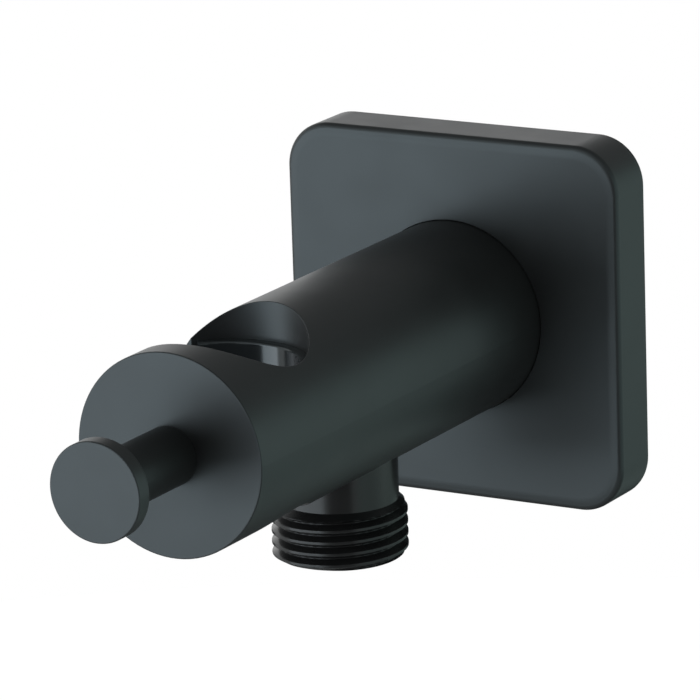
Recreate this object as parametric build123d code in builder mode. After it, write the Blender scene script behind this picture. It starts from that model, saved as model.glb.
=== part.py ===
from build123d import *
import math
import os

# Wall outlet elbow with a handset socket, in millimetres.
# The wall is the plane y = 0, the barrel points to -Y, and +Z is up.
# Distances "from the wall" are measured along -Y.

# G 1/2 pipe thread, drawn at its major diameter
thread_diameter = 20.955
thread_end_chamfer = 1.0

# Hexagon key and water way of both nipples
hexagon_sides = 6
key_across_flats = 10.0
key_depth = 7.0
nipple_bore_diameter = 10.0

# Wall plate
plate_side = 58.7
plate_thickness = 9.3
plate_corner_radius = 7.5
plate_edge_round = 0.9
plate_edge_roll_width = 1.7
plate_edge_roll_depth = 0.2
plate_edge_roll_round = 6.0
plate_front_wall = 2.6
plate_side_wall = 4.4
plate_rim_wall = 2.2
plate_hub_wall = 3.4
plate_hub_wall_gap = 1.2
plate_clearance = 0.15

# Foam frame in the plate's back
seal_thickness = 2.6
seal_clearance = 0.1

# Barrel
barrel_diameter = 31.1
barrel_wall_gap = 0.6
barrel_edge_round = 0.2
barrel_rear_chamfer = 0.5
waterway_diameter = 13.0
drill_point_angle = 118.0

# Wall nipple and its plug in the barrel
inlet_thread_length = 15.0
collar_diameter = 24.0
collar_thickness = 3.0
plug_barrel_wall = 6.45
plug_clearance = 0.1
plug_lead = 3.5
plug_end_chamfer = 0.8
plug_end_gap = 1.0
lock_groove_depth = 1.2
lock_groove_from_plate = 4.7
groove_to_ring = 6.5
ring_pitch = 5.0

# O-rings
ring_section = 1.5
ring_groove_width = 1.9
ring_clearance = 0.04
plate_ring_section = 2.0
plate_ring_groove_width = 2.4
outlet_ring_section = 1.6

# Grub screw, a cone-point set screw
grub_diameter = 5.0
grub_length = 5.6
grub_clearance = 0.05
grub_key_across_flats = 2.5
grub_key_depth = 2.2
grub_tip_gap = 0.1

# Outlet nipple under the barrel
outlet_back_web = 7.3
outlet_neck_diameter = 18.4
outlet_neck_below_barrel = 3.85
outlet_thread_length = 8.9
outlet_pocket_clearance = 0.1
outlet_pocket_margin = 0.3
spigot_diameter = 16.0
spigot_length = 5.4
spigot_clearance = 0.05
spigot_ring_recess = 0.6

# Handset socket, open to the left through the hose slot
socket_closed_wall = 4.2
socket_open_wall = 0.5
socket_back_web = 7.7
socket_front_wall = 4.8
socket_rim_round = 0.1
hose_slot_width = 17.0
liner_wall = 1.55
liner_clearance = 0.03
liner_below_slot_edge = 0.55
liner_edge_round = 0.4
liner_gap_angle = 88.0
liner_seat_width = 0.9

# Hook peg on the front face and its stud
peg_diameter = 9.1
peg_head_diameter = 15.1
peg_head_thickness = 2.7
peg_length = 20.3
peg_head_edge_round = 0.2
peg_root_round = 0.5
stud_diameter = 6.0
stud_in_peg = 8.0
stud_cover = 0.9
stud_end_gap = 0.3
stud_clearance = 0.05
stud_chamfer = 0.6

# Places worked out from the sizes above
barrel_radius = barrel_diameter / 2
thread_radius = thread_diameter / 2
bore_radius = nipple_bore_diameter / 2
plug_bore_radius = barrel_radius - plug_barrel_wall
plug_radius = plug_bore_radius - plug_clearance
waterway_radius = waterway_diameter / 2

lock_groove_at = plate_thickness + lock_groove_from_plate
inner_ring_at = lock_groove_at + groove_to_ring
outer_ring_at = inner_ring_at + ring_pitch
plug_end = outer_ring_at + plug_lead
plug_bore_end = plug_end + plug_end_gap

neck_radius = outlet_neck_diameter / 2
pocket_radius = neck_radius + outlet_pocket_clearance
outlet_at = plug_bore_end + outlet_back_web + pocket_radius
shoulder_height = -(math.sqrt(barrel_radius**2 - pocket_radius**2) - outlet_pocket_margin)
spigot_top = shoulder_height + spigot_length
neck_bottom = -(barrel_radius + outlet_neck_below_barrel)
thread_shoulder = thread_radius - neck_radius
outlet_bottom = neck_bottom - outlet_thread_length
spigot_bore_radius = spigot_diameter / 2 + spigot_clearance
outlet_recess_radius = spigot_bore_radius + spigot_ring_recess
outlet_recess_height = outlet_ring_section + 2 * ring_clearance
outlet_ring_floor = outlet_recess_radius - outlet_recess_height

socket_radius = (barrel_diameter - socket_closed_wall - socket_open_wall) / 2
socket_x = barrel_radius - socket_closed_wall - socket_radius
socket_at = outlet_at + pocket_radius + socket_back_web + socket_radius
slot_edge_x = socket_x - math.sqrt(socket_radius**2 - (hose_slot_width / 2) ** 2)
liner_top = math.sqrt(barrel_radius**2 - slot_edge_x**2) - liner_below_slot_edge
liner_outer_radius = socket_radius - liner_clearance
liner_inner_radius = liner_outer_radius - liner_wall
seat_radius = socket_radius - liner_seat_width

barrel_reach = socket_at + socket_radius + socket_front_wall
peg_tip = barrel_reach + peg_length
peg_head_back = peg_tip - peg_head_thickness
stud_in_barrel = socket_front_wall - stud_cover

barrel_axis = Axis.Y
outlet_axis = Axis((0, -outlet_at, 0), (0, 0, 1))
outlet_plane = Plane.XZ.offset(outlet_at)
key_corner_radius = key_across_flats / math.sqrt(3)
grub_key_corner_radius = grub_key_across_flats / math.sqrt(3)


# Barrel: a turned body, bored from the back for the plug and the water way
waterway_end = outlet_at + bore_radius
drill_point = waterway_radius / math.tan(math.radians(drill_point_angle / 2))
collar_bore_radius = collar_diameter / 2 + plug_clearance
through_height = barrel_diameter

with BuildPart() as barrel:
    with BuildSketch(Plane.XY):
        with BuildLine():
            Polyline(
                (0, -barrel_reach),
                (barrel_radius, -barrel_reach),
                (barrel_radius, -barrel_wall_gap),
                (collar_bore_radius, -barrel_wall_gap),
                (collar_bore_radius, -collar_thickness),
                (plug_bore_radius, -collar_thickness),
                (plug_bore_radius, -plug_bore_end),
                (waterway_radius, -plug_bore_end),
                (waterway_radius, -waterway_end),
                (0, -waterway_end - drill_point),
                close=True,
            )
        make_face()
    revolve(axis=barrel_axis)
    rear_rim = barrel.faces().sort_by(Axis.Y)[-1].outer_wire().edges()
    chamfer(rear_rim, barrel_rear_chamfer)

    # Port for the outlet nipple: pocket for the neck, ring recess, spigot bore and way up to the water
    with BuildSketch(Plane.XY.offset(-through_height)):
        with Locations((0, -outlet_at)):
            Circle(pocket_radius)
    extrude(amount=through_height + shoulder_height, mode=Mode.SUBTRACT)
    with BuildSketch(Plane.XY.offset(shoulder_height)):
        with Locations((0, -outlet_at)):
            Circle(outlet_recess_radius)
    extrude(amount=outlet_recess_height, mode=Mode.SUBTRACT)
    with BuildSketch(Plane.XY.offset(shoulder_height)):
        with Locations((0, -outlet_at)):
            Circle(spigot_bore_radius)
    extrude(amount=spigot_length + spigot_clearance, mode=Mode.SUBTRACT)
    with BuildSketch(Plane.XY.offset(shoulder_height)):
        with Locations((0, -outlet_at)):
            Circle(bore_radius)
    extrude(amount=-shoulder_height, mode=Mode.SUBTRACT)

    # Grub screw hole from below into the plug bore
    with BuildSketch(Plane.XY):
        with Locations((0, -lock_groove_at)):
            Circle(grub_diameter / 2 + grub_clearance)
    extrude(amount=-through_height, mode=Mode.SUBTRACT)

    # Tapped hole for the peg's stud
    with BuildSketch(Plane.XZ.offset(barrel_reach)):
        Circle(stud_diameter / 2 + stud_clearance)
    extrude(amount=-stud_in_barrel, mode=Mode.SUBTRACT)

    # Handset socket down to the liner's seat, a narrower way below it, and the hose slot
    with BuildSketch(Plane.XY.offset(-liner_top)):
        with Locations((socket_x, -socket_at)):
            Circle(socket_radius)
    extrude(amount=through_height + liner_top, mode=Mode.SUBTRACT)
    with BuildSketch(Plane.XY):
        with Locations((socket_x, -socket_at)):
            Circle(seat_radius)
    extrude(amount=-through_height, mode=Mode.SUBTRACT)
    with BuildSketch(Plane.XY.offset(-through_height)):
        with Locations((socket_x, -socket_at)):
            Rectangle(barrel_diameter, hose_slot_width, align=(Align.MAX, Align.CENTER))
    extrude(amount=2 * through_height, mode=Mode.SUBTRACT)

    # Soft edges round the front face and where the socket and slot break the skin
    front_rim = barrel.faces().sort_by(Axis.Y)[0].outer_wire().edges()
    fillet(front_rim, barrel_edge_round)
    skin = barrel.faces().filter_by(GeomType.CYLINDER).sort_by(SortBy.AREA)[-1]
    socket_back = -socket_at + socket_radius + liner_clearance
    socket_front = -socket_at - socket_radius - liner_clearance
    fillet(skin.edges().filter_by_position(Axis.Y, socket_front, socket_back), socket_rim_round)


# Wall plate: a cast shell with a hub that the barrel passes through
hub_bore_radius = barrel_radius + plate_clearance
hub_radius = hub_bore_radius + plate_hub_wall
plate_ring_at = (plate_thickness + plate_hub_wall_gap) / 2
plate_groove_radius = barrel_radius + plate_ring_section + 2 * ring_clearance

with BuildPart() as wall_plate:
    with BuildSketch(Plane.XZ):
        RectangleRounded(plate_side, plate_side, plate_corner_radius)
    extrude(amount=plate_thickness)
    # The front rolls off softly towards its rounded edge
    front = wall_plate.faces().sort_by(Axis.Y)[0]
    chamfer(front.edges(), plate_edge_roll_width, plate_edge_roll_depth, reference=front)
    roll_end = plate_edge_roll_depth - plate_thickness
    near = plate_edge_roll_depth / 4
    fillet(wall_plate.edges().filter_by_position(Axis.Y, roll_end - near, roll_end + near), plate_edge_round)
    fillet(wall_plate.faces().sort_by(Axis.Y)[0].edges(), plate_edge_roll_round)
    with BuildSketch(Plane.XZ):
        rim_opening = plate_side - 2 * plate_rim_wall
        RectangleRounded(rim_opening, rim_opening, plate_corner_radius - plate_rim_wall)
    extrude(amount=seal_thickness, mode=Mode.SUBTRACT)
    with BuildSketch(Plane.XZ):
        hollow = plate_side - 2 * plate_side_wall
        RectangleRounded(hollow, hollow, plate_corner_radius - plate_side_wall)
    extrude(amount=plate_thickness - plate_front_wall, mode=Mode.SUBTRACT)
    with BuildSketch(Plane.XZ.offset(plate_hub_wall_gap)):
        Circle(hub_radius)
    extrude(amount=plate_thickness - plate_front_wall - plate_hub_wall_gap)
    with BuildSketch(Plane.XZ):
        Circle(hub_bore_radius)
    extrude(amount=plate_thickness, mode=Mode.SUBTRACT)
    with BuildSketch(Plane.XZ.offset(plate_ring_at - plate_ring_groove_width / 2)):
        Circle(plate_groove_radius)
    extrude(amount=plate_ring_groove_width, mode=Mode.SUBTRACT)


# Foam frame that seals the plate's back to the wall
with BuildPart() as wall_seal:
    with BuildSketch(Plane.XZ):
        seal_outer = plate_side - 2 * (plate_rim_wall + seal_clearance)
        seal_inner = plate_side - 2 * plate_side_wall
        RectangleRounded(seal_outer, seal_outer, plate_corner_radius - plate_rim_wall - seal_clearance)
        RectangleRounded(seal_inner, seal_inner, plate_corner_radius - plate_side_wall, mode=Mode.SUBTRACT)
    extrude(amount=seal_thickness)


# Wall nipple: thread into the wall, collar, and a plug with ring grooves and a lock groove
ring_floor_radius = plug_bore_radius - ring_section - 2 * ring_clearance
half_groove = ring_groove_width / 2

with BuildPart() as wall_nipple:
    with BuildSketch(Plane.XY):
        with BuildLine():
            Polyline(
                (bore_radius, inlet_thread_length),
                (thread_radius - thread_end_chamfer, inlet_thread_length),
                (thread_radius, inlet_thread_length - thread_end_chamfer),
                (thread_radius, 0),
                (collar_diameter / 2, 0),
                (collar_diameter / 2, -collar_thickness),
                (plug_radius, -collar_thickness),
                (plug_radius, -lock_groove_at + lock_groove_depth),
                (plug_radius - lock_groove_depth, -lock_groove_at),
                (plug_radius, -lock_groove_at - lock_groove_depth),
                (plug_radius, -inner_ring_at + half_groove),
                (ring_floor_radius, -inner_ring_at + half_groove),
                (ring_floor_radius, -inner_ring_at - half_groove),
                (plug_radius, -inner_ring_at - half_groove),
                (plug_radius, -outer_ring_at + half_groove),
                (ring_floor_radius, -outer_ring_at + half_groove),
                (ring_floor_radius, -outer_ring_at - half_groove),
                (plug_radius, -outer_ring_at - half_groove),
                (plug_radius, -plug_end + plug_end_chamfer),
                (plug_radius - plug_end_chamfer, -plug_end),
                (bore_radius, -plug_end),
                close=True,
            )
        make_face()
    revolve(axis=barrel_axis)
    with BuildSketch(Plane.XZ.offset(plug_end)):
        RegularPolygon(key_corner_radius, hexagon_sides)
    extrude(amount=-key_depth, mode=Mode.SUBTRACT)


# Grub screw: cone tip in the plug's lock groove, hexagon key at the bottom
grub_radius = grub_diameter / 2
grub_tip = -(plug_radius - lock_groove_depth + grub_tip_gap)
grub_bottom = grub_tip - grub_length

with BuildPart() as grub_screw:
    with BuildSketch(Plane.XZ.offset(lock_groove_at)):
        with BuildLine():
            Polyline(
                (0, grub_tip),
                (grub_radius, grub_tip - grub_radius),
                (grub_radius, grub_bottom),
                (0, grub_bottom),
                close=True,
            )
        make_face()
    revolve(axis=Axis((0, -lock_groove_at, 0), (0, 0, 1)))
    with BuildSketch(Plane.XY.offset(grub_bottom)):
        with Locations((0, -lock_groove_at)):
            RegularPolygon(grub_key_corner_radius, hexagon_sides)
    extrude(amount=grub_key_depth, mode=Mode.SUBTRACT)


# Outlet nipple: spigot in the barrel, plain neck, hose thread and a hexagon key
with BuildPart() as outlet_nipple:
    with BuildSketch(outlet_plane):
        with BuildLine():
            Polyline(
                (bore_radius, spigot_top),
                (spigot_diameter / 2, spigot_top),
                (spigot_diameter / 2, shoulder_height + outlet_recess_height),
                (outlet_ring_floor, shoulder_height + outlet_recess_height),
                (outlet_ring_floor, shoulder_height),
                (neck_radius, shoulder_height),
                (neck_radius, neck_bottom),
                (thread_radius, neck_bottom - thread_shoulder),
                (thread_radius, outlet_bottom + thread_end_chamfer),
                (thread_radius - thread_end_chamfer, outlet_bottom),
                (bore_radius, outlet_bottom),
                close=True,
            )
        make_face()
    revolve(axis=outlet_axis)
    with BuildSketch(Plane.XY.offset(outlet_bottom)):
        with Locations((0, -outlet_at)):
            RegularPolygon(key_corner_radius, hexagon_sides)
    extrude(amount=key_depth, mode=Mode.SUBTRACT)


# Socket liner: a sleeve on the socket's seat, its ends cut along the radius beside the hose slot
gap_reach = barrel_diameter
gap_spread = gap_reach * math.tan(math.radians(liner_gap_angle / 2))

with BuildPart() as socket_liner:
    with BuildSketch(Plane.XY.offset(-liner_top)):
        with Locations((socket_x, -socket_at)):
            Circle(liner_outer_radius)
            Circle(liner_inner_radius, mode=Mode.SUBTRACT)
        with BuildLine():
            Polyline(
                (socket_x, -socket_at),
                (socket_x - gap_reach, -socket_at - gap_spread),
                (socket_x - gap_reach, -socket_at + gap_spread),
                close=True,
            )
        make_face(mode=Mode.SUBTRACT)
    extrude(amount=2 * liner_top)
    top_face = socket_liner.faces().sort_by(Axis.Z)[-1]
    inner_edge = top_face.edges().filter_by(GeomType.CIRCLE).sort_by(SortBy.RADIUS)[0]
    fillet(inner_edge, liner_edge_round)


# Hook peg: turned shank with a disc head, tapped at its foot
with BuildPart() as hook_peg:
    with BuildSketch(Plane.XY):
        with BuildLine():
            Polyline(
                (0, -barrel_reach),
                (peg_diameter / 2, -barrel_reach),
                (peg_diameter / 2, -peg_head_back),
                (peg_head_diameter / 2, -peg_head_back),
                (peg_head_diameter / 2, -peg_tip),
                (0, -peg_tip),
                close=True,
            )
        make_face()
    revolve(axis=barrel_axis)
    circles = hook_peg.edges().filter_by(GeomType.CIRCLE).group_by(SortBy.RADIUS)
    root = circles[0].sort_by(Axis.Y)[0]
    fillet(root, peg_root_round)
    circles = hook_peg.edges().filter_by(GeomType.CIRCLE).group_by(SortBy.RADIUS)
    fillet(circles[-1], peg_head_edge_round)
    with BuildSketch(Plane.XZ.offset(barrel_reach)):
        Circle(stud_diameter / 2 + stud_clearance)
    extrude(amount=stud_in_peg + stud_end_gap, mode=Mode.SUBTRACT)


# Stud that joins the peg to the front wall
with BuildPart() as peg_stud:
    with BuildSketch(Plane.XZ.offset(barrel_reach - stud_in_barrel)):
        Circle(stud_diameter / 2)
    extrude(amount=stud_in_barrel + stud_in_peg)
    ends = peg_stud.edges().filter_by(GeomType.CIRCLE)
    chamfer(ends, stud_chamfer)


# O-rings, each in the middle of its groove
def ring_radius(inner_wall, outer_wall):
    """Mean radius of a ring between two round walls."""
    return (inner_wall + outer_wall) / 2


with BuildPart(Plane.XZ.offset(inner_ring_at)) as nipple_ring_inner:
    Torus(ring_radius(ring_floor_radius, plug_bore_radius), ring_section / 2)

with BuildPart(Plane.XZ.offset(outer_ring_at)) as nipple_ring_outer:
    Torus(ring_radius(ring_floor_radius, plug_bore_radius), ring_section / 2)

with BuildPart(Plane.XZ.offset(plate_ring_at)) as plate_ring:
    Torus(ring_radius(barrel_radius, plate_groove_radius), plate_ring_section / 2)

outlet_ring_height = shoulder_height + outlet_recess_height / 2
with BuildPart(Plane((0, -outlet_at, outlet_ring_height))) as outlet_ring:
    Torus(ring_radius(outlet_ring_floor, outlet_recess_radius), outlet_ring_section / 2)


pieces = {
    "barrel": barrel,
    "wall_plate": wall_plate,
    "wall_seal": wall_seal,
    "wall_nipple": wall_nipple,
    "nipple_ring_inner": nipple_ring_inner,
    "nipple_ring_outer": nipple_ring_outer,
    "grub_screw": grub_screw,
    "plate_ring": plate_ring,
    "outlet_nipple": outlet_nipple,
    "outlet_ring": outlet_ring,
    "socket_liner": socket_liner,
    "hook_peg": hook_peg,
    "peg_stud": peg_stud,
}

os.makedirs("parts", exist_ok=True)
for label, piece in pieces.items():
    piece.part.label = label
    export_step(piece.part, f"parts/{label}.step")
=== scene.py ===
import logging
import math
from dataclasses import dataclass
from enum import Enum
from typing import Iterable, Sequence

import bmesh
import bpy
from mathutils import Matrix, Vector


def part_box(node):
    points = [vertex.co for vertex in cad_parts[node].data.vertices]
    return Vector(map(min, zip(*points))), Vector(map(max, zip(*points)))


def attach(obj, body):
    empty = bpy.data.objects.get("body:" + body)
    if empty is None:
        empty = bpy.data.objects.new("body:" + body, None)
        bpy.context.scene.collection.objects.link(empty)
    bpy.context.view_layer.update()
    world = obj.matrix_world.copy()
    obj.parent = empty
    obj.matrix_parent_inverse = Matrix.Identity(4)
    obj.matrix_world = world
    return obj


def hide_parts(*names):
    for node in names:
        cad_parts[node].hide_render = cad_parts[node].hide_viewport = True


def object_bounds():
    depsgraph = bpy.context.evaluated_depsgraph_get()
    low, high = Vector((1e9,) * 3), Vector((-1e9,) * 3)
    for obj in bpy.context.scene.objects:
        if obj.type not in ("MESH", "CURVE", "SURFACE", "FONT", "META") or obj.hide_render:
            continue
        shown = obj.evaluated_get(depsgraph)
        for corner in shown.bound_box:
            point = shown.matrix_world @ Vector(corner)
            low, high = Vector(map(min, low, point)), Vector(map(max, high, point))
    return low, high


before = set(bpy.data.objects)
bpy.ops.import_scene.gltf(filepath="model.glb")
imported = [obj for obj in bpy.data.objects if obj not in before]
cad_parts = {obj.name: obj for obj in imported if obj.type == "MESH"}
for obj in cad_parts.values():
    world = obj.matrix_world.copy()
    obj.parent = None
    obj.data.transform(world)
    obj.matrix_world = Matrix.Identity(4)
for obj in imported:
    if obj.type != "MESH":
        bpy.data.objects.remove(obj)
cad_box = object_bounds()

# A wall outlet elbow in metres: the wall is the plane y = 0, the barrel points to -Y and +Z is up.
MM = 0.001
ROOT_BODY = "root"
FULL_TURN = 2 * math.pi
QUARTER_TURN = FULL_TURN / 4
SQUARE_CORNERS = 4
HEXAGON_SIDES = 6
MERGE_DISTANCE = 0.0002 * MM
DRIFT_SPAN = (0.3, 0.7)
WHITE = (1.0, 1.0, 1.0, 1.0)

Color = tuple[float, float, float]
Place = tuple[float, float, float]
log = logging.getLogger("outlet_elbow")


class Slot(Enum):
    """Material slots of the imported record."""

    BODY = "body_black"
    NIPPLE = "nipple_black"
    LINER = "liner_black"
    BRASS = "raw_brass"
    STEEL = "screw_steel"
    RING = "ring_rubber"
    SEAL = "seal_foam"


class Hand(Enum):
    """Which way a thread winds."""

    RIGHT = 1.0
    LEFT = -1.0


class Section(Enum):
    """Outline of one ring of a turned piece."""

    ROUND = "round"
    HEXAGON = "hexagon"


class NodeSheet:
    """A node tree with short calls for adding nodes and joining sockets."""

    MIX_COLORS = (6, 7)
    MIX_RESULT = 2

    def __init__(self, tree: bpy.types.NodeTree) -> None:
        """Keeps the tree.

        Args:
            tree: The node tree to write into.
        """
        self.tree = tree

    def add(self, kind: str, **settings: object) -> bpy.types.Node:
        """Adds a node.

        Args:
            kind: Blender's name of the node type.
            settings: Properties of the node to set.

        Returns:
            The new node.
        """
        node = self.tree.nodes.new(kind)
        for name, value in settings.items():
            setattr(node, name, value)
        return node

    def put(self, target: bpy.types.NodeSocket, value: object) -> None:
        """Feeds a socket.

        Args:
            target: The input socket.
            value: An output socket to link, or a constant.
        """
        if isinstance(value, bpy.types.NodeSocket):
            self.tree.links.new(value, target)
        else:
            target.default_value = value

    def math(self, operation: str, *values: object) -> bpy.types.NodeSocket:
        """Adds a Math node.

        Args:
            operation: Its operation.
            values: Sockets or constants for its inputs.

        Returns:
            The result's socket.
        """
        node = self.add("ShaderNodeMath", operation=operation)
        for socket, value in zip(node.inputs, values):
            self.put(socket, value)
        return node.outputs[0]

    def mix_color(self, factor: object, first: object, second: object) -> bpy.types.NodeSocket:
        """Adds a Mix node for colours.

        Args:
            factor: Share of the second colour.
            first: First colour.
            second: Second colour.

        Returns:
            The mixed colour's socket.
        """
        node = self.add("ShaderNodeMix", data_type="RGBA")
        self.put(node.inputs["Factor"], factor)
        for place, color in zip(self.MIX_COLORS, (first, second)):
            self.put(node.inputs[place], color)
        return node.outputs[self.MIX_RESULT]

    def map_range(
        self, value: object, span: tuple[object, object], to: tuple[float, float]
    ) -> bpy.types.NodeSocket:
        """Adds a clamped linear Map Range node.

        Args:
            value: The value to map.
            span: Ends of the incoming range.
            to: Ends of the outgoing range.

        Returns:
            The mapped value's socket.
        """
        node = self.add("ShaderNodeMapRange")
        for name, part in zip(("Value", "From Min", "From Max", "To Min", "To Max"), (value, *span, *to)):
            self.put(node.inputs[name], part)
        return node.outputs["Result"]


class GrainGroup:
    """Shader group that gives a fine surface grain and a slow drift of tone."""

    NAME = "fine_grain"
    GRAIN_DETAIL = 3.0
    GRAIN_ROUGHNESS = 0.55
    DRIFT_DETAIL = 2.0
    DRIFT_TO_GRAIN = 14.0

    def __init__(self) -> None:
        """Builds the group once."""
        self.tree = bpy.data.node_groups.new(self.NAME, "ShaderNodeTree")
        face = self.tree.interface
        face.new_socket("Vector", in_out="INPUT", socket_type="NodeSocketVector")
        face.new_socket("Grain Scale", in_out="INPUT", socket_type="NodeSocketFloat")
        face.new_socket("Height", in_out="OUTPUT", socket_type="NodeSocketFloat")
        face.new_socket("Drift", in_out="OUTPUT", socket_type="NodeSocketFloat")
        sheet = NodeSheet(self.tree)
        source = sheet.add("NodeGroupInput")
        result = sheet.add("NodeGroupOutput")
        grain = sheet.add("ShaderNodeTexNoise")
        grain.inputs["Detail"].default_value = self.GRAIN_DETAIL
        grain.inputs["Roughness"].default_value = self.GRAIN_ROUGHNESS
        drift = sheet.add("ShaderNodeTexNoise")
        drift.inputs["Detail"].default_value = self.DRIFT_DETAIL
        for node in (grain, drift):
            sheet.put(node.inputs["Vector"], source.outputs["Vector"])
        sheet.put(grain.inputs["Scale"], source.outputs["Grain Scale"])
        slow = sheet.math("DIVIDE", source.outputs["Grain Scale"], self.DRIFT_TO_GRAIN)
        sheet.put(drift.inputs["Scale"], slow)
        sheet.put(result.inputs["Height"], grain.outputs["Fac"])
        sheet.put(result.inputs["Drift"], drift.outputs["Fac"])

    def place(self, sheet: NodeSheet, scale: float) -> bpy.types.Node:
        """Places the group in a material.

        Args:
            sheet: The material's tree.
            scale: Grains per metre.

        Returns:
            The group node.
        """
        node = sheet.add("ShaderNodeGroup", node_tree=self.tree)
        coordinates = sheet.add("ShaderNodeTexCoord")
        sheet.put(node.inputs["Vector"], coordinates.outputs["Object"])
        node.inputs["Grain Scale"].default_value = scale
        return node


class TurningGroup:
    """Shader group that gives the fine rings that a lathe tool leaves round an axis."""

    NAME = "turning_marks"
    WAVER = 0.25
    RIDGE = 0.5

    def __init__(self) -> None:
        """Builds the group once."""
        self.tree = bpy.data.node_groups.new(self.NAME, "ShaderNodeTree")
        face = self.tree.interface
        face.new_socket("Along", in_out="INPUT", socket_type="NodeSocketFloat")
        face.new_socket("Feed", in_out="INPUT", socket_type="NodeSocketFloat")
        face.new_socket("Height", in_out="OUTPUT", socket_type="NodeSocketFloat")
        sheet = NodeSheet(self.tree)
        source = sheet.add("NodeGroupInput")
        result = sheet.add("NodeGroupOutput")
        turns = sheet.math("DIVIDE", source.outputs["Along"], source.outputs["Feed"])
        noise = sheet.add("ShaderNodeTexNoise", noise_dimensions="1D")
        sheet.put(noise.inputs["W"], turns)
        noise.inputs["Scale"].default_value = self.WAVER
        ridge = sheet.math("PINGPONG", turns, self.RIDGE)
        height = sheet.math("MULTIPLY", ridge, noise.outputs["Fac"])
        sheet.put(result.inputs["Height"], height)

    def place(self, sheet: NodeSheet, axis: str, feed: float) -> bpy.types.Node:
        """Places the group in a material.

        Args:
            sheet: The material's tree.
            axis: Name of the axis that the piece was turned about.
            feed: Distance between two marks.

        Returns:
            The group node.
        """
        node = sheet.add("ShaderNodeGroup", node_tree=self.tree)
        coordinates = sheet.add("ShaderNodeTexCoord")
        split = sheet.add("ShaderNodeSeparateXYZ")
        sheet.put(split.inputs[0], coordinates.outputs["Object"])
        sheet.put(node.inputs["Along"], split.outputs[axis])
        node.inputs["Feed"].default_value = feed
        return node


@dataclass(frozen=True)
class Surface:
    """What every finish shares: a material with one Principled shader."""

    name: str
    color: Color
    roughness: float
    roughness_swing: float
    grain: float
    relief: float

    def start(
        self, grain: GrainGroup
    ) -> tuple[bpy.types.Material, NodeSheet, bpy.types.Node, bpy.types.Node]:
        """Makes the material with its grain and its roughness.

        Args:
            grain: The shared grain group.

        Returns:
            The material, its tree, its shader and its grain node.
        """
        material = bpy.data.materials.new(self.name)
        material.use_nodes = True
        sheet = NodeSheet(material.node_tree)
        shader = material.node_tree.nodes["Principled BSDF"]
        texture = grain.place(sheet, 1 / self.grain)
        low = self.roughness - self.roughness_swing
        high = self.roughness + self.roughness_swing
        rough = sheet.map_range(texture.outputs["Drift"], DRIFT_SPAN, (low, high))
        sheet.put(shader.inputs["Roughness"], rough)
        return material, sheet, shader, texture

    def bump(self, sheet: NodeSheet, shader: bpy.types.Node, height: bpy.types.NodeSocket) -> None:
        """Raises the surface by its relief.

        Args:
            sheet: The material's tree.
            shader: The Principled shader.
            height: The height's socket, from 0 to 1.
        """
        bump = sheet.add("ShaderNodeBump")
        bump.inputs["Distance"].default_value = self.relief
        sheet.put(bump.inputs["Height"], height)
        sheet.put(shader.inputs["Normal"], bump.outputs["Normal"])

    def tone(
        self, sheet: NodeSheet, shader: bpy.types.Node, share: bpy.types.NodeSocket, depth: float
    ) -> None:
        """Lets the colour go darker and lighter over the surface: a slow random drift on the coats and
        metals, painted shade in the pits on the rubbers.

        Args:
            sheet: The material's tree.
            shader: The Principled shader.
            share: The socket that sets where the colour is darker or lighter, from 0 to 1: the drift, and
                on the rubbers their pits.
            depth: How much darker and lighter the colour gets.
        """
        dark = (*(part * (1 - depth) for part in self.color), 1.0)
        light = (*(part * (1 + depth) for part in self.color), 1.0)
        span = sheet.map_range(share, DRIFT_SPAN, (0.0, 1.0))
        sheet.put(shader.inputs["Base Color"], sheet.mix_color(span, dark, light))


@dataclass(frozen=True)
class BlackCoat(Surface):
    """A dark coat, from matte powder to glossy moulded plastic."""

    specular: float
    tint: Color
    drift: float

    def material(self, grain: GrainGroup) -> bpy.types.Material:
        """Builds the coat.

        Args:
            grain: The shared grain group.

        Returns:
            The material.
        """
        material, sheet, shader, texture = self.start(grain)
        self.bump(sheet, shader, texture.outputs["Height"])
        shader.inputs["Specular IOR Level"].default_value = self.specular
        shader.inputs["Specular Tint"].default_value = (*self.tint, 1.0)
        self.tone(sheet, shader, texture.outputs["Drift"], self.drift)
        return material


@dataclass(frozen=True)
class TurnedMetal(Surface):
    """Bare metal with the marks of the lathe."""

    axis: str
    feed: float
    drift: float

    def material(self, grain: GrainGroup, turning: TurningGroup) -> bpy.types.Material:
        """Builds the metal.

        Args:
            grain: The shared grain group.
            turning: The shared group of turning marks.

        Returns:
            The material.
        """
        material, sheet, shader, texture = self.start(grain)
        shader.inputs["Metallic"].default_value = 1.0
        marks = turning.place(sheet, self.axis, self.feed)
        both = sheet.math("ADD", marks.outputs["Height"], texture.outputs["Height"])
        self.bump(sheet, shader, both)
        self.tone(sheet, shader, texture.outputs["Drift"], self.drift)
        return material


@dataclass(frozen=True)
class CellRubber(Surface):
    """Rubber or closed-cell foam, rough and dark."""

    cell: float
    # drift sets the strength of the painted shade: darker in the pits, lighter on the cell walls.
    drift: float

    def material(self, grain: GrainGroup) -> bpy.types.Material:
        """Builds the rubber.

        Args:
            grain: The shared grain group.

        Returns:
            The material.
        """
        material, sheet, shader, texture = self.start(grain)
        coordinates = sheet.add("ShaderNodeTexCoord")
        cells = sheet.add("ShaderNodeTexVoronoi")
        sheet.put(cells.inputs["Vector"], coordinates.outputs["Object"])
        cells.inputs["Scale"].default_value = 1 / self.cell
        pits = sheet.math("MULTIPLY", cells.outputs["Distance"], texture.outputs["Height"])
        self.bump(sheet, shader, pits)
        # Painted shade and light: the colour follows the bump's height, darker in the pits and lighter on
        # the raised cell walls.
        self.tone(sheet, shader, pits, self.drift)
        return material


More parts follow.
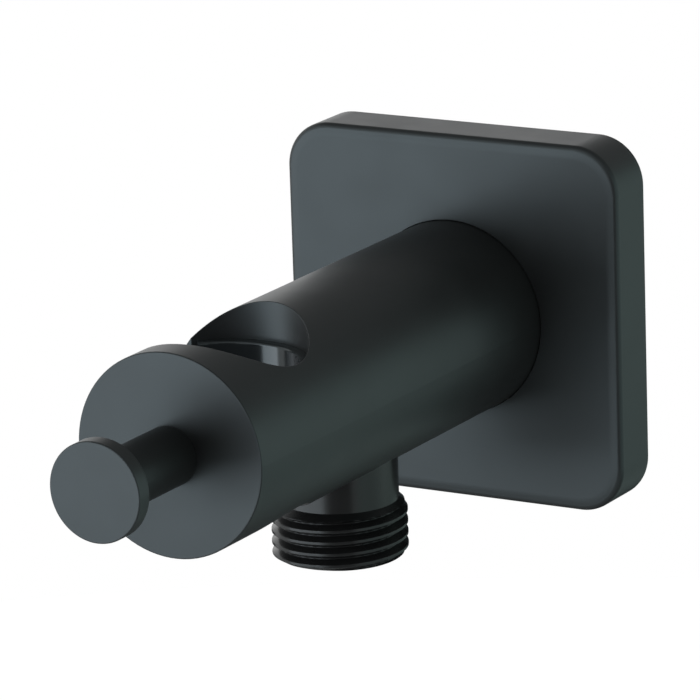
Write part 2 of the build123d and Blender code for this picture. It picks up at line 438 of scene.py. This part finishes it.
@dataclass
class FinishSet:
    """The finishes of the elbow and the slots they belong to."""

    body: BlackCoat = BlackCoat(
        name="matte_powder_coat", color=(0.0140, 0.0140, 0.0140), roughness=0.42, roughness_swing=0.02,
        grain=0.55 * MM, relief=0.004 * MM, specular=0.42, tint=(0.80, 1.0, 1.04), drift=0.08,
    )
    nipple: BlackCoat = BlackCoat(
        name="satin_black_plating", color=(0.012, 0.012, 0.012), roughness=0.24, roughness_swing=0.03,
        grain=0.4 * MM, relief=0.003 * MM, specular=0.3, tint=(0.9, 1.0, 1.0), drift=0.1,
    )
    liner: BlackCoat = BlackCoat(
        name="gloss_black_plastic", color=(0.022, 0.026, 0.027), roughness=0.13, roughness_swing=0.02,
        grain=1.2 * MM, relief=0.002 * MM, specular=0.37, tint=(0.84, 1.0, 1.03), drift=0.06,
    )
    brass: TurnedMetal = TurnedMetal(
        name="turned_brass", color=(0.56, 0.40, 0.16), roughness=0.27, roughness_swing=0.05,
        grain=0.8 * MM, relief=0.004 * MM, axis="Y", feed=0.12 * MM, drift=0.12,
    )
    steel: TurnedMetal = TurnedMetal(
        name="plain_screw_steel", color=(0.42, 0.42, 0.41), roughness=0.33, roughness_swing=0.05,
        grain=0.5 * MM, relief=0.003 * MM, axis="Z", feed=0.1 * MM, drift=0.1,
    )
    # On the rubbers, drift is the strength of the painted shade in their pits.
    ring: CellRubber = CellRubber(
        name="ring_rubber_matte", color=(0.012, 0.012, 0.012), roughness=0.6, roughness_swing=0.05,
        grain=0.3 * MM, relief=0.004 * MM, cell=0.4 * MM, drift=0.15,
    )
    seal: CellRubber = CellRubber(
        name="closed_cell_foam", color=(0.022, 0.022, 0.023), roughness=0.85, roughness_swing=0.05,
        grain=0.35 * MM, relief=0.05 * MM, cell=0.55 * MM, drift=0.35,
    )

    def build(self) -> dict[Slot, bpy.types.Material]:
        """Builds each material once.

        Returns:
            The material of each slot.
        """
        grain = GrainGroup()
        turning = TurningGroup()
        return {
            Slot.BODY: self.body.material(grain),
            Slot.NIPPLE: self.nipple.material(grain),
            Slot.LINER: self.liner.material(grain),
            Slot.BRASS: self.brass.material(grain, turning),
            Slot.STEEL: self.steel.material(grain, turning),
            Slot.RING: self.ring.material(grain),
            Slot.SEAL: self.seal.material(grain),
        }


def dress_nodes(nodes: Iterable[str], material: bpy.types.Material) -> None:
    """Gives solid nodes their finish.

    Args:
        nodes: Names of the nodes.
        material: The finish.
    """
    for name in nodes:
        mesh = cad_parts[name].data
        mesh.materials.clear()
        mesh.materials.append(material)
        log.info("dressed node %s with %s", name, material.name)


def enter(piece: bpy.types.Object, slot: Slot, *nodes: str) -> None:
    """Enters a finished piece in the frame.

    Args:
        piece: The piece, in its place.
        slot: Not used.
        nodes: The solid nodes that it stands for.
    """
    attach(piece, ROOT_BODY)
    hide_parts(*nodes)
    log.info("built %s for %s with %d faces", piece.name, ", ".join(nodes), len(piece.data.polygons))


def link(name: str, mesh: bpy.types.Mesh) -> bpy.types.Object:
    """Puts a mesh in the scene.

    Args:
        name: The object's name.
        mesh: Its mesh.

    Returns:
        The object.
    """
    piece = bpy.data.objects.new(name, mesh)
    bpy.context.scene.collection.objects.link(piece)
    return piece


def bridge_rings(bm: bmesh.types.BMesh, rings: Sequence[Sequence[bmesh.types.BMVert]]) -> None:
    """Joins closed rings of equal length into one closed skin, the last ring to the first.

    Args:
        bm: The mesh being built.
        rings: The rings in order round the section.
    """
    for here, there in zip(rings, (*rings[1:], rings[0])):
        count = len(here)
        for i in range(count):
            j = (i + 1) % count
            bm.faces.new((here[i], here[j], there[j], there[i]))


def close_skin(bm: bmesh.types.BMesh, name: str, sharp_degrees: float) -> bpy.types.Mesh:
    """Merges doubles, points the faces outwards and sets the shading.

    Args:
        bm: The finished mesh.
        name: Name of the new mesh.
        sharp_degrees: Angle past which an edge stays sharp.

    Returns:
        The mesh.
    """
    bmesh.ops.remove_doubles(bm, verts=bm.verts, dist=MERGE_DISTANCE)
    bmesh.ops.recalc_face_normals(bm, faces=bm.faces)
    mesh = bpy.data.meshes.new(name)
    bm.to_mesh(mesh)
    bm.free()
    mesh.shade_smooth()
    mesh.set_sharp_from_angle(angle=math.radians(sharp_degrees))
    return mesh


@dataclass(frozen=True)
class Ring:
    """One ring of a turned blank that stands on the Z axis."""

    radius: float
    height: float
    section: Section = Section.ROUND

    def points(self, count: int) -> list[Vector]:
        """Lists the ring's points.

        Args:
            count: How many points it has, a multiple of six.

        Returns:
            The points in order.
        """
        found = []
        for i in range(count):
            turn = FULL_TURN * i / count
            reach = self.radius
            if self.section is Section.HEXAGON:
                sixth = FULL_TURN / HEXAGON_SIDES
                reach = self.radius * math.cos(sixth / 2) / math.cos(turn % sixth - sixth / 2)
            found.append(Vector((reach * math.cos(turn), reach * math.sin(turn), self.height)))
        return found


@dataclass(frozen=True)
class Bevel:
    """A sloped end of a turned blank."""

    depth: float
    height: float

    def drop(self, distance: float) -> float:
        """Tells how far the blank falls back.

        Args:
            distance: How far from the end the place is.

        Returns:
            The lost radius there.
        """
        return self.depth * max(0.0, 1.0 - distance / self.height)


@dataclass(frozen=True)
class PipeThread:
    """A parallel pipe thread with straight flanks, flat crests and narrow roots."""

    major_radius: float = 20.955 / 2 * MM
    pitch: float = 25.4 / 14 * MM
    depth: float = 1.162 * MM
    crest_share: float = 0.24
    root_share: float = 0.95
    end_bevel: Bevel = Bevel(1.0 * MM, 0.6 * MM)
    rows_per_pitch: int = 40
    hand: Hand = Hand.RIGHT

    def blank(self, start: float, end: float, start_bevel: Bevel, end_bevel: Bevel) -> list[Ring]:
        """Lists the rings of the plain blank that the thread is cut into.

        Args:
            start: Height of the first ring.
            end: Height of the last ring.
            start_bevel: Slope at the first ring.
            end_bevel: Slope at the last ring.

        Returns:
            Rings from start to end.
        """
        length = end - start
        rows = round(abs(length) / self.pitch * self.rows_per_pitch)
        rings = []
        for i in range(rows + 1):
            share = i / rows
            from_start = abs(length) * share
            from_end = abs(length) - from_start
            drop = max(start_bevel.drop(from_start), end_bevel.drop(from_end))
            rings.append(Ring(self.major_radius - drop, start + length * share))
        return rings


class ThreadTree:
    """Geometry Nodes tree that cuts a helical thread into a turned blank on the Z axis."""

    NAME = "helical_thread"
    SIZES = (
        "Pitch", "Major Radius", "Depth", "Crest Share", "Root Share", "Hand", "Turned By", "From", "To",
    )

    def __init__(self) -> None:
        """Builds the tree once."""
        self.tree = bpy.data.node_groups.new(self.NAME, "GeometryNodeTree")
        face = self.tree.interface
        face.new_socket("Geometry", in_out="INPUT", socket_type="NodeSocketGeometry")
        for name in self.SIZES:
            face.new_socket(name, in_out="INPUT", socket_type="NodeSocketFloat")
        face.new_socket("Material", in_out="INPUT", socket_type="NodeSocketMaterial")
        face.new_socket("Geometry", in_out="OUTPUT", socket_type="NodeSocketGeometry")
        self._wire(NodeSheet(self.tree))

    def _wire(self, sheet: NodeSheet) -> None:
        """Wires the tree: the depth of the groove follows the turn round the axis.

        Args:
            sheet: The tree to write into.
        """
        source = sheet.add("NodeGroupInput").outputs
        result = sheet.add("NodeGroupOutput")
        place = sheet.add("GeometryNodeInputPosition")
        split = sheet.add("ShaderNodeSeparateXYZ")
        sheet.put(split.inputs[0], place.outputs[0])
        x, y, z = split.outputs
        square = sheet.math("ADD", sheet.math("MULTIPLY", x, x), sheet.math("MULTIPLY", y, y))
        radius = sheet.math("SQRT", square)
        angle = sheet.math("SUBTRACT", sheet.math("ARCTAN2", y, x), source["Turned By"])
        turns = sheet.math("MULTIPLY", sheet.math("DIVIDE", angle, FULL_TURN), source["Hand"])
        phase = sheet.math("FRACT", sheet.math("SUBTRACT", sheet.math("DIVIDE", z, source["Pitch"]), turns))
        wave = sheet.math("PINGPONG", sheet.math("MULTIPLY", phase, 2.0), 1.0)
        groove = sheet.map_range(wave, (source["Crest Share"], source["Root Share"]), (0.0, 1.0))
        cut = sheet.math("MULTIPLY", groove, source["Depth"])
        allowed = sheet.math("SUBTRACT", source["Major Radius"], cut)
        share = sheet.math("MINIMUM", sheet.math("DIVIDE", allowed, radius), 1.0)
        join = sheet.add("ShaderNodeCombineXYZ")
        sheet.put(join.inputs["X"], sheet.math("MULTIPLY", x, share))
        sheet.put(join.inputs["Y"], sheet.math("MULTIPLY", y, share))
        sheet.put(join.inputs["Z"], z)
        above = sheet.add("FunctionNodeCompare", operation="GREATER_EQUAL")
        sheet.put(above.inputs[0], z)
        sheet.put(above.inputs[1], source["From"])
        below = sheet.add("FunctionNodeCompare", operation="LESS_EQUAL")
        sheet.put(below.inputs[0], z)
        sheet.put(below.inputs[1], source["To"])
        both = sheet.add("FunctionNodeBooleanMath", operation="AND")
        sheet.put(both.inputs[0], above.outputs[0])
        sheet.put(both.inputs[1], below.outputs[0])
        move = sheet.add("GeometryNodeSetPosition")
        sheet.put(move.inputs["Geometry"], source["Geometry"])
        sheet.put(move.inputs["Selection"], both.outputs[0])
        sheet.put(move.inputs["Position"], join.outputs[0])
        real = sheet.add("GeometryNodeRealizeInstances")
        sheet.put(real.inputs[0], move.outputs[0])
        paint = sheet.add("GeometryNodeSetMaterial")
        sheet.put(paint.inputs["Geometry"], real.outputs[0])
        sheet.put(paint.inputs["Material"], source["Material"])
        sheet.put(result.inputs[0], paint.outputs[0])

    def cut(self, piece: bpy.types.Object, sizes: dict[str, float], material: bpy.types.Material) -> None:
        """Cuts the thread and bakes it into the piece's mesh.

        Args:
            piece: The blank, standing on the Z axis.
            sizes: A value for each named size of the tree.
            material: The finish of the piece.
        """
        modifier = piece.modifiers.new(self.NAME, "NODES")
        modifier.node_group = self.tree
        for item in self.tree.interface.items_tree:
            if item.in_out == "INPUT" and item.name in sizes:
                modifier[item.identifier] = sizes[item.name]
            if item.in_out == "INPUT" and item.name == "Material":
                modifier[item.identifier] = material
        bpy.context.view_layer.update()
        evaluated = piece.evaluated_get(bpy.context.evaluated_depsgraph_get())
        baked = bpy.data.meshes.new_from_object(evaluated)
        piece.modifiers.remove(modifier)
        old = piece.data
        piece.data = baked
        bpy.data.meshes.remove(old)


@dataclass
class Nipple:
    """A turned nipple with a bore, a hexagon key and a pipe thread, built on the Z axis and then placed."""

    name: str
    node: str
    slot: Slot
    thread: PipeThread
    bore_radius: float = 5.0 * MM
    key_across_flats: float = 10.0 * MM
    key_depth: float = 7.0 * MM
    segments: int = 144
    sharp_degrees: float = 40.0
    turned_by_degrees: float = 0.0

    @property
    def key_corner(self) -> float:
        """Radius at the key's corners."""
        return self.key_across_flats / math.sqrt(3)

    def rings(self) -> list[Ring]:
        """Lists the rings of the section.

        Returns:
            The rings in order along the section.
        """
        raise NotImplementedError

    def thread_span(self) -> tuple[float, float]:
        """Measures where the thread runs.

        Returns:
            The lowest and highest height of the thread.
        """
        raise NotImplementedError

    def placing(self) -> Matrix:
        """Finds the piece's place.

        Returns:
            The matrix from the Z axis to that place.
        """
        raise NotImplementedError

    def build(self, tree: ThreadTree, material: bpy.types.Material) -> bpy.types.Object:
        """Builds, threads and places the nipple.

        Args:
            tree: The shared thread tree.
            material: The finish.

        Returns:
            The finished piece.
        """
        bm = bmesh.new()
        rings = []
        for ring in self.rings():
            rings.append([bm.verts.new(point) for point in ring.points(self.segments)])
        bridge_rings(bm, rings)
        piece = link(self.name, close_skin(bm, self.name, self.sharp_degrees))
        low, high = self.thread_span()
        sizes = {
            "Pitch": self.thread.pitch,
            "Major Radius": self.thread.major_radius,
            "Depth": self.thread.depth,
            "Crest Share": self.thread.crest_share,
            "Root Share": self.thread.root_share,
            "Hand": self.thread.hand.value,
            "Turned By": math.radians(self.turned_by_degrees),
            "From": low,
            "To": high,
        }
        tree.cut(piece, sizes, material)
        piece.data.transform(self.placing())
        piece.data.shade_smooth()
        piece.data.set_sharp_from_angle(angle=math.radians(self.sharp_degrees))
        enter(piece, self.slot, self.node)
        return piece


@dataclass
class OutletNipple(Nipple):
    """The hose outlet below the barrel: spigot, ring groove, neck, thread and key."""

    spigot_radius: float = 8.0 * MM
    groove_radius: float = 6.97 * MM
    groove_height: float = 1.68 * MM
    spigot_length: float = 5.4 * MM
    neck_radius: float = 9.2 * MM
    thread_length: float = 8.9 * MM
    shoulder_height: float = 0.95 * MM

    def rings(self) -> list[Ring]:
        """Lists the rings from the spigot's top, down the outside and up the bore.

        Returns:
            The rings in order round the section.
        """
        low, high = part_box(self.node)
        top, bottom = high.z, low.z
        shoulder = top - self.spigot_length
        neck_end = bottom + self.thread_length
        thread_shoulder = Bevel(self.thread.major_radius - self.neck_radius, self.shoulder_height)
        key_top = bottom + self.key_depth
        outside = [
            Ring(self.bore_radius, top),
            Ring(self.spigot_radius, top),
            Ring(self.spigot_radius, shoulder + self.groove_height),
            Ring(self.groove_radius, shoulder + self.groove_height),
            Ring(self.groove_radius, shoulder),
            Ring(self.neck_radius, shoulder),
        ]
        inside = [
            Ring(self.key_corner, bottom, Section.HEXAGON),
            Ring(self.key_corner, key_top, Section.HEXAGON),
            Ring(self.bore_radius, key_top),
        ]
        threaded = self.thread.blank(neck_end, bottom, thread_shoulder, self.thread.end_bevel)
        return outside + threaded + inside

    def thread_span(self) -> tuple[float, float]:
        """Gives the lowest and highest height of the thread.

        Returns:
            The two heights.
        """
        low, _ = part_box(self.node)
        return low.z, low.z + self.thread_length

    def placing(self) -> Matrix:
        """Gives the matrix from the Z axis to the outlet's axis.

        Returns:
            The matrix.
        """
        low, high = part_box(self.node)
        middle = (low + high) / 2
        return Matrix.Translation((middle.x, middle.y, 0.0))


@dataclass
class WallNipple(Nipple):
    """The inlet behind the plate: wall thread, collar and the plug that holds the barrel."""

    thread_length: float = 15.0 * MM
    collar_radius: float = 12.0 * MM
    collar_thickness: float = 3.0 * MM
    plug_radius: float = 9.0 * MM
    plug_end_chamfer: float = 0.8 * MM
    lock_groove_depth: float = 1.2 * MM
    lock_groove_at: float = 14.0 * MM
    ring_floor: float = 7.52 * MM
    ring_groove_width: float = 1.9 * MM
    ring_places: tuple[float, float] = (20.5 * MM, 25.5 * MM)

    def rings(self) -> list[Ring]:
        """Lists the rings from the wall end, along the outside to the plug's end and back through the bore.

        Returns:
            The rings in order round the section.
        """
        low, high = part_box(self.node)
        wall_end, plug_end = high.y, low.y
        key_end = plug_end + self.key_depth
        thread_end = wall_end - self.thread_length
        no_bevel = Bevel(0.0, self.thread.pitch)
        outside = [Ring(self.bore_radius, wall_end)]
        outside += self.thread.blank(wall_end, thread_end, self.thread.end_bevel, no_bevel)
        outside += [
            Ring(self.collar_radius, thread_end),
            Ring(self.collar_radius, -self.collar_thickness),
            Ring(self.plug_radius, -self.collar_thickness),
            Ring(self.plug_radius, -self.lock_groove_at + self.lock_groove_depth),
            Ring(self.plug_radius - self.lock_groove_depth, -self.lock_groove_at),
            Ring(self.plug_radius, -self.lock_groove_at - self.lock_groove_depth),
        ]
        half = self.ring_groove_width / 2
        for place in self.ring_places:
            outside += [
                Ring(self.plug_radius, half - place),
                Ring(self.ring_floor, half - place),
                Ring(self.ring_floor, -half - place),
                Ring(self.plug_radius, -half - place),
            ]
        inside = [
            Ring(self.plug_radius, plug_end + self.plug_end_chamfer),
            Ring(self.plug_radius - self.plug_end_chamfer, plug_end),
            Ring(self.key_corner, plug_end, Section.HEXAGON),
            Ring(self.key_corner, key_end, Section.HEXAGON),
            Ring(self.bore_radius, key_end),
        ]
        return outside + inside

    def thread_span(self) -> tuple[float, float]:
        """Gives the lowest and highest height of the thread.

        Returns:
            The two heights.
        """
        _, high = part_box(self.node)
        return high.y - self.thread_length, high.y

    def placing(self) -> Matrix:
        """Gives the matrix that lays the Z axis along +Y.

        Returns:
            The matrix.
        """
        return Matrix.Rotation(-QUARTER_TURN, 4, "X")


@dataclass
class WallSeal:
    """The foam frame in the plate's back, crowned where it meets the wall."""

    name: str = "foam_wall_seal"
    node: str = "wall_seal"
    band: float = 2.1 * MM
    corner_radius: float = 5.2 * MM
    crown: float = 0.22 * MM
    edge_round: float = 0.5 * MM
    corner_steps: int = 10
    side_steps: int = 18
    band_steps: int = 8
    fill: float = 0.9
    sharp_degrees: float = 60.0

    def outline(self, inset: float, height: float) -> list[Vector]:
        """Lists the points of one outline of the frame.

        Args:
            inset: How far inside the outer edge it runs.
            height: Its place along Y.

        Returns:
            The points in order.
        """
        low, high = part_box(self.node)
        half = (high.x - low.x) / 2 - inset
        radius = max(self.corner_radius - inset, self.edge_round)
        straight = half - radius
        points = []
        for corner in range(SQUARE_CORNERS):
            turn = QUARTER_TURN * corner
            middle = Matrix.Rotation(turn, 3, "Y") @ Vector((straight, 0.0, straight))
            for i in range(self.corner_steps + 1):
                swing = turn + QUARTER_TURN * (i / self.corner_steps - 0.5)
                out = Matrix.Rotation(swing, 3, "Y") @ Vector((1.0, 0.0, 1.0)).normalized()
                points.append(middle + out * radius)
            following = Matrix.Rotation(turn + QUARTER_TURN, 3, "Y") @ Vector((straight, 0.0, straight))
            last = points[-1]
            after = following + (last - middle)
            for i in range(1, self.side_steps):
                points.append(last.lerp(after, i / self.side_steps))
        return [Vector((p.x, height, p.z)) for p in points]

    def build(self, material: bpy.types.Material) -> bpy.types.Object:
        """Builds the frame.

        Args:
            material: The foam.

        Returns:
            The finished piece.
        """
        low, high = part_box(self.node)
        bm = bmesh.new()
        rings = []
        for i in range(self.band_steps + 1):
            share = i / self.band_steps
            arch = 1 - (2 * share - 1) ** 2
            rings.append(self.outline(self.band * share, high.y - self.crown * (1 - math.sqrt(arch))))
        rings.append(self.outline(self.band, low.y))
        rings.append(self.outline(0.0, low.y))
        bridge_rings(bm, [[bm.verts.new(point) for point in ring] for ring in rings])
        mesh = close_skin(bm, self.name, self.sharp_degrees)
        mesh.materials.append(material)
        piece = link(self.name, mesh)
        enter(piece, Slot.SEAL, self.node)
        return piece


@dataclass(frozen=True)
class PhotoCamera:
    """The camera at the photograph's angle, its lens worked out for a frame of equal sides."""

    azimuth_degrees: float = 30.139
    elevation_degrees: float = 15.052
    roll_degrees: float = -1.879
    distance: float = 874.241 * MM
    aside: float = 20.75 * MM
    above: float = 7.504 * MM
    focal_pixels: float = 5500.0
    frame_pixels: float = 700.0
    sensor: float = 36.0
    clip_start: float = 0.01
    clip_end: float = 100.0

    def build(self) -> bpy.types.Object:
        """Builds the camera and makes it the scene's.

        Returns:
            The camera object.
        """
        turn = math.radians(self.azimuth_degrees)
        lift = math.radians(self.elevation_degrees)
        roll = math.radians(self.roll_degrees)
        right = Vector((math.cos(turn), math.sin(turn), 0.0))
        back = Vector((math.sin(turn) * math.cos(lift), -math.cos(turn) * math.cos(lift), math.sin(lift)))
        up = back.cross(right)
        rolled_right = math.cos(roll) * right + math.sin(roll) * up
        rolled_up = math.cos(roll) * up - math.sin(roll) * right
        place = back * self.distance - rolled_right * self.aside - rolled_up * self.above
        data = bpy.data.cameras.new("photo_camera")
        data.sensor_width = self.sensor
        data.lens = self.focal_pixels * self.sensor / self.frame_pixels
        data.clip_start = self.clip_start
        data.clip_end = self.clip_end
        camera = bpy.data.objects.new("photo_camera", data)
        axes = Matrix((rolled_right, rolled_up, back)).transposed().to_4x4()
        camera.matrix_world = Matrix.Translation(place) @ axes
        bpy.context.scene.collection.objects.link(camera)
        bpy.context.scene.camera = camera
        return camera


@dataclass(frozen=True)
class SoftBox:
    """A rectangular studio lamp that faces the object."""

    name: str
    direction: Place
    distance: float
    size: tuple[float, float]
    radiance: float
    color: Color = (1.0, 1.0, 1.0)

    def build(self, target: Vector) -> bpy.types.Object:
        """Hangs the lamp.

        Args:
            target: The point that it faces.

        Returns:
            The lamp object.
        """
        data = bpy.data.lights.new(self.name, "AREA")
        data.shape = "RECTANGLE"
        data.size, data.size_y = self.size
        data.energy = self.radiance * math.pi * data.size * data.size_y
        data.color = self.color
        lamp = bpy.data.objects.new(self.name, data)
        toward = Vector(self.direction).normalized()
        lamp.location = target + toward * self.distance
        lamp.rotation_mode = "QUATERNION"
        lamp.rotation_quaternion = toward.to_track_quat("Z", "Y")
        bpy.context.scene.collection.objects.link(lamp)
        return lamp


@dataclass(frozen=True)
class Card:
    """A flat studio card that shapes the reflections and stays out of the picture."""

    UNIT_HALF = 0.5

    name: str
    middle: Place
    facing: Place
    size: tuple[float, float]
    tone: Color

    def build(self) -> bpy.types.Object:
        """Stands the card in the studio.

        Returns:
            The card object.
        """
        bm = bmesh.new()
        bmesh.ops.create_grid(bm, x_segments=1, y_segments=1, size=self.UNIT_HALF)
        mesh = bpy.data.meshes.new(self.name)
        bm.to_mesh(mesh)
        bm.free()
        spread = Matrix.Diagonal((*self.size, 1.0, 1.0))
        turn = Vector(self.facing).to_track_quat("Z", "Y").to_matrix().to_4x4()
        mesh.transform(Matrix.Translation(self.middle) @ turn @ spread)
        material = bpy.data.materials.new(self.name)
        material.use_nodes = True
        sheet = NodeSheet(material.node_tree)
        glow = sheet.add("ShaderNodeEmission")
        glow.inputs["Color"].default_value = (*self.tone, 1.0)
        sheet.put(material.node_tree.nodes["Material Output"].inputs["Surface"], glow.outputs[0])
        mesh.materials.append(material)
        card = link(self.name, mesh)
        card.visible_camera = False
        return card


@dataclass
class Studio:
    """The plain stage: a pale floor, a white surround, cards and soft lamps."""

    floor_drop: float = 0.16
    floor_radius: float = 0.5
    floor_color: Color = (0.5, 0.5, 0.5)
    floor_lift: float = 0.85
    floor_sheen: float = 0.45
    sheen_span: tuple[float, float] = (0.0, -0.12)
    floor_sides: int = 96
    ambient: Color = (0.30, 0.31, 0.32)
    lamps: tuple[SoftBox, ...] = (
        SoftBox("key_left_front", (-0.51, -0.85, -0.24), 1.1, (1.3, 1.0), 3.07, (0.98, 1.0, 1.08)),
    )
    cards: tuple[Card, ...] = (
        Card("ceiling_card", (0.6, 1.1, 0.6), (0.0, 0.0, -1.0), (2.7, 3.0), (0.27, 0.27, 0.27)),
        Card("right_card", (0.55, 0.25, -0.18), (-1.0, 0.0, 0.0), (1.1, 0.84), (0.9, 1.08, 1.04)),
        Card("back_right_card", (0.31, 0.93, -0.18), (-0.47, -0.88, 0.0), (0.56, 0.84), (0.34, 0.45, 0.43)),
        Card("low_back_card", (0.2, 0.3, -0.18), (0.0, 0.0, 1.0), (0.4, 0.4), (0.33, 0.43, 0.41)),
        Card("low_left_card", (-0.24, 0.15, -0.12), (0.0, -1.0, 0.0), (0.52, 0.14), (0.03, 0.035, 0.035)),
        Card("front_right_card", (0.64, -1.07, 0.0), (-0.53, 0.85, 0.0), (1.0, 1.7), (0.13, 0.11, 0.11)),
        Card("back_left_card", (-1.0, 1.75, 0.5), (0.48, -0.84, -0.24), (1.4, 0.9), (1.35, 1.35, 1.35)),
    )

    def white_to_eye(self, sheet: NodeSheet) -> bpy.types.NodeSocket:
        """Tells rays that show the background from rays that light the object.

        Args:
            sheet: The tree to write into.

        Returns:
            A socket that is 1 for camera, glossy and transmission rays.
        """
        path = sheet.add("ShaderNodeLightPath")
        seen = sheet.math("MAXIMUM", path.outputs["Is Camera Ray"], path.outputs["Is Glossy Ray"])
        return sheet.math("MAXIMUM", seen, path.outputs["Is Transmission Ray"])

    def surround(self) -> None:
        """Makes the world: white where it is seen, dim where it lights."""
        world = bpy.data.worlds.new("white_surround")
        world.use_nodes = True
        sheet = NodeSheet(world.node_tree)
        background = world.node_tree.nodes["Background"]
        seen = self.white_to_eye(sheet)
        color = sheet.mix_color(seen, (*self.ambient, 1.0), WHITE)
        sheet.put(background.inputs["Color"], color)
        bpy.context.scene.world = world

    def floor_material(self) -> bpy.types.Material:
        """Makes the floor's material, white to the camera and lighter to reflections in front.

        Returns:
            The material.
        """
        material = bpy.data.materials.new("pale_floor")
        material.use_nodes = True
        sheet = NodeSheet(material.node_tree)
        diffuse = material.node_tree.nodes["Principled BSDF"]
        diffuse.inputs["Base Color"].default_value = (*self.floor_color, 1.0)
        diffuse.inputs["Roughness"].default_value = 1.0
        glow = sheet.add("ShaderNodeEmission")
        both = sheet.add("ShaderNodeAddShader")
        path = sheet.add("ShaderNodeLightPath")
        lift = sheet.math("MULTIPLY", path.outputs["Is Camera Ray"], self.floor_lift)
        place = sheet.add("ShaderNodeSeparateXYZ")
        sheet.put(place.inputs[0], sheet.add("ShaderNodeTexCoord").outputs["Object"])
        front = sheet.map_range(place.outputs["Y"], self.sheen_span, (0.0, self.floor_sheen))
        sheen = sheet.math("MULTIPLY", path.outputs["Is Glossy Ray"], front)
        sheet.put(glow.inputs["Strength"], sheet.math("ADD", lift, sheen))
        sheet.put(both.inputs[0], diffuse.outputs[0])
        sheet.put(both.inputs[1], glow.outputs[0])
        sheet.put(material.node_tree.nodes["Material Output"].inputs["Surface"], both.outputs[0])
        return material

    def floor(self, low: float, middle: Vector) -> bpy.types.Object:
        """Lays the pale floor under the object.

        Args:
            low: The object's lowest height.
            middle: The object's middle.

        Returns:
            The floor object.
        """
        bm = bmesh.new()
        bmesh.ops.create_circle(bm, cap_ends=True, segments=self.floor_sides, radius=self.floor_radius)
        mesh = bpy.data.meshes.new("pale_floor")
        bm.to_mesh(mesh)
        bm.free()
        mesh.transform(Matrix.Translation((middle.x, middle.y, low - self.floor_drop)))
        mesh.materials.append(self.floor_material())
        floor = link("pale_floor", mesh)
        return floor

    def build(self) -> None:
        """Sets up the surround, the floor, the cards and the lamps."""
        scene = bpy.context.scene
        scene.view_settings.view_transform = "Standard"
        low, high = cad_box
        middle = (low + high) / 2
        self.surround()
        self.floor(low.z, middle)
        for card in self.cards:
            card.build()
            log.info("stood %s", card.name)
        for lamp in self.lamps:
            lamp.build(middle)
            log.info("hung lamp %s", lamp.name)


@dataclass
class OutletElbow:
    """The whole elbow: its dressed solids and the pieces that replace some of them."""

    thread: PipeThread = PipeThread()
    coated: tuple[str, ...] = ("barrel", "wall_plate", "hook_peg")
    lined: tuple[str, ...] = ("socket_liner",)
    screws: tuple[str, ...] = ("grub_screw", "peg_stud")
    rings: tuple[str, ...] = ("nipple_ring_inner", "nipple_ring_outer", "plate_ring", "outlet_ring")
    outlet_turned_by: float = -47.0

    def build(self, finishes: dict[Slot, bpy.types.Material]) -> None:
        """Dresses the solids and builds the new pieces.

        Args:
            finishes: The material of each slot.
        """
        dress_nodes(self.coated, finishes[Slot.BODY])
        dress_nodes(self.lined, finishes[Slot.LINER])
        dress_nodes(self.screws, finishes[Slot.STEEL])
        dress_nodes(self.rings, finishes[Slot.RING])
        tree = ThreadTree()
        outlet = OutletNipple(
            "threaded_outlet",
            "outlet_nipple",
            Slot.NIPPLE,
            self.thread,
            turned_by_degrees=self.outlet_turned_by,
        )
        outlet.build(tree, finishes[Slot.NIPPLE])
        inlet = WallNipple("threaded_inlet", "wall_nipple", Slot.BRASS, self.thread)
        inlet.build(tree, finishes[Slot.BRASS])
        WallSeal().build(finishes[Slot.SEAL])


def main() -> None:
    """Builds the finishes, the elbow, the stage and the camera in order."""
    logging.basicConfig(level=logging.INFO, format="%(name)s: %(message)s")
    finishes = FinishSet().build()
    OutletElbow().build(finishes)
    Studio().build()
    PhotoCamera().build()


if __name__ == "__main__":
    main()
